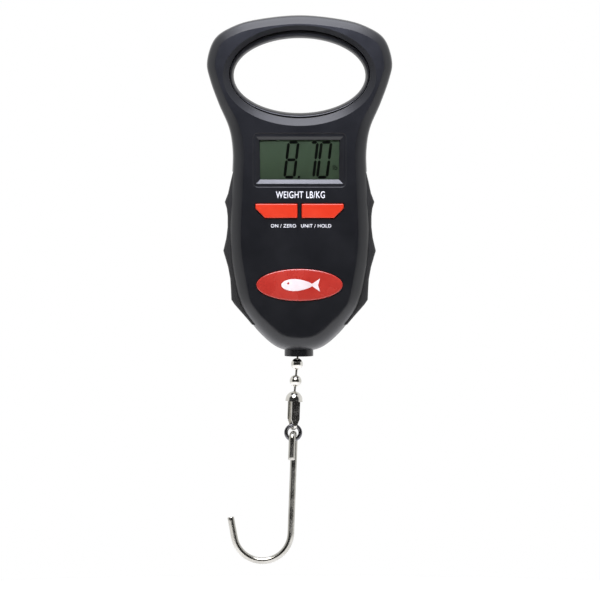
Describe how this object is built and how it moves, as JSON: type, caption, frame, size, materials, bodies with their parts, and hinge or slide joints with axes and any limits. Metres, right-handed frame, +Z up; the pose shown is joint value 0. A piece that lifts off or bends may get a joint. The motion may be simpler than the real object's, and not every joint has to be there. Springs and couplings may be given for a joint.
{
  "type": "digital fish scale",
  "caption": "Hand-held hanging scale with an oval hand opening, display, two keys and finger grips; a ball chain below carries a hook on a split ring.",
  "frame": {"origin": "top inner wall of the hand opening, at the plane where the case halves meet, on the middle line", "axes": "+Z up towards the handle, +X to the right seen from the front, the display faces -Y"},
  "size_m": [0.0854, 0.027, 0.2543],
  "materials": {
    "case_front": "satin",
    "case_rear": "satin",
    "grip_rubber": "matte, fine grain",
    "window": "clear",
    "dark_foam": "matte",
    "display_panel": "grey-green",
    "light_plastic": "matte",
    "board": "solder mask",
    "chip": "matte",
    "components": "matte",
    "key_red": "satin",
    "plunger": "matte",
    "badge_red": "gloss",
    "screw_steel": "zinc plated",
    "beam": "machined",
    "gauge": "foil",
    "chain_chrome": "nickel plated",
    "hook_steel": "polished",
    "cell_jacket": "gloss",
    "contact": "nickel plated",
    "lead": "matte"
  },
  "bodies": {
    "case": {"front_shell": "case_front", "rear_shell": "case_rear", "left_grip": "grip_rubber", "right_grip": "grip_rubber", "display_lens": "window", "lens_adhesive": "dark_foam", "lcd_panel": "display_panel", "lcd_holder": "light_plastic", "zebra_strips": "dark_foam", "main_board": "board", "controller_chip": "chip", "board_components": "components", "switch_bodies": "chip", "badge": "badge_red", "board_screws": "screw_steel", "case_screws": "screw_steel", "load_cell": "beam", "backing_plate": "screw_steel", "load_cell_screws": "screw_steel", "strain_gauges": "gauge", "loading_arm": "screw_steel", "arm_screws": "screw_steel", "outlet_bush": "case_front", "cell_left": "cell_jacket", "cell_right": "cell_jacket", "contact_plus_left": "contact", "contact_minus_right": "contact", "contact_bridge": "contact", "battery_leads": "lead", "load_cell_leads": "lead"},
    "power_key": {"power_button": "key_red", "power_plunger": "plunger"},
    "units_key": {"units_button": "key_red", "units_plunger": "plunger"},
    "hanger_rod": {"hanger": "chain_chrome"},
    "link_0": {"chain_link_0": "chain_chrome"},
    "bead_0": {"chain_bead_0": "chain_chrome"},
    "link_1": {"chain_link_1": "chain_chrome"},
    "bead_1": {"chain_bead_1": "chain_chrome"},
    "link_2": {"chain_link_2": "chain_chrome"},
    "bead_2": {"chain_bead_2": "chain_chrome"},
    "link_3": {"chain_link_3": "chain_chrome"},
    "coupling": {"coupling_bell": "chain_chrome", "coupling_strap": "chain_chrome"},
    "ring": {"split_ring": "chain_chrome"},
    "fish_hook": {"hook": "hook_steel"},
    "door": {"battery_door": "case_rear"}
  },
  "joints": [
    {"name": "power_press", "type": "slide", "parent": "case", "child": "power_key", "axis": [0, 0.9996, -0.028], "range_m": [0, 0.0005], "stiffness_N_per_m": 300},
    {"name": "units_press", "type": "slide", "parent": "case", "child": "units_key", "axis": [0, 0.9996, -0.028], "range_m": [0, 0.0005], "stiffness_N_per_m": 300},
    {"name": "hanger_swivel", "type": "hinge", "parent": "case", "child": "hanger_rod", "pos_m": [0, 0, -0.1166], "axis": [0, 0, 1], "continuous": true},
    {"name": "link_0_tilt", "type": "hinge", "parent": "hanger_rod", "child": "link_0", "pos_m": [0, 0, -0.13592], "axis": [0.9966, 0, -0.0819], "range_deg": [-8, 8]},
    {"name": "bead_0_tilt", "type": "hinge", "parent": "link_0", "child": "bead_0", "pos_m": [-0.00045, 0, -0.1414], "axis": [0, 1, 0], "range_deg": [-8, 8]},
    {"name": "link_1_tilt", "type": "hinge", "parent": "bead_0", "child": "link_1", "pos_m": [-0.00065, 0, -0.14379], "axis": [0.9966, 0, -0.0819], "range_deg": [-15, 15]},
    {"name": "bead_1_tilt", "type": "hinge", "parent": "link_1", "child": "bead_1", "pos_m": [-0.0011, 0, -0.14927], "axis": [0, 1, 0], "range_deg": [-15, 15]},
    {"name": "link_2_tilt", "type": "hinge", "parent": "bead_1", "child": "link_2", "pos_m": [-0.00129, 0, -0.15167], "axis": [0.9966, 0, -0.0819], "range_deg": [-15, 15]},
    {"name": "bead_2_tilt", "type": "hinge", "parent": "link_2", "child": "bead_2", "pos_m": [-0.00175, 0, -0.15715], "axis": [0, 1, 0], "range_deg": [-15, 15]},
    {"name": "link_3_tilt", "type": "hinge", "parent": "bead_2", "child": "link_3", "pos_m": [-0.00194, 0, -0.15954], "axis": [0.9966, 0, -0.0819], "range_deg": [-15, 15]},
    {"name": "coupling_tilt", "type": "hinge", "parent": "link_3", "child": "coupling", "pos_m": [-0.00239, 0, -0.16502], "axis": [0, 1, 0], "range_deg": [-12, 12]},
    {"name": "ring_swing", "type": "hinge", "parent": "coupling", "child": "ring", "pos_m": [-0.00295, 0, -0.179], "axis": [0, 1, 0], "range_deg": [-10, 10]},
    {"name": "hook_swing", "type": "hinge", "parent": "ring", "child": "fish_hook", "pos_m": [-0.00295, 0, -0.18585], "axis": [0.9848, -0.1736, 0], "range_deg": [-50, 50]},
    {"name": "door_swing", "type": "hinge", "parent": "case", "child": "door", "pos_m": [0, 0.01285, -0.0453], "axis": [1, 0, 0], "range_deg": [0, 100]}
  ]
}
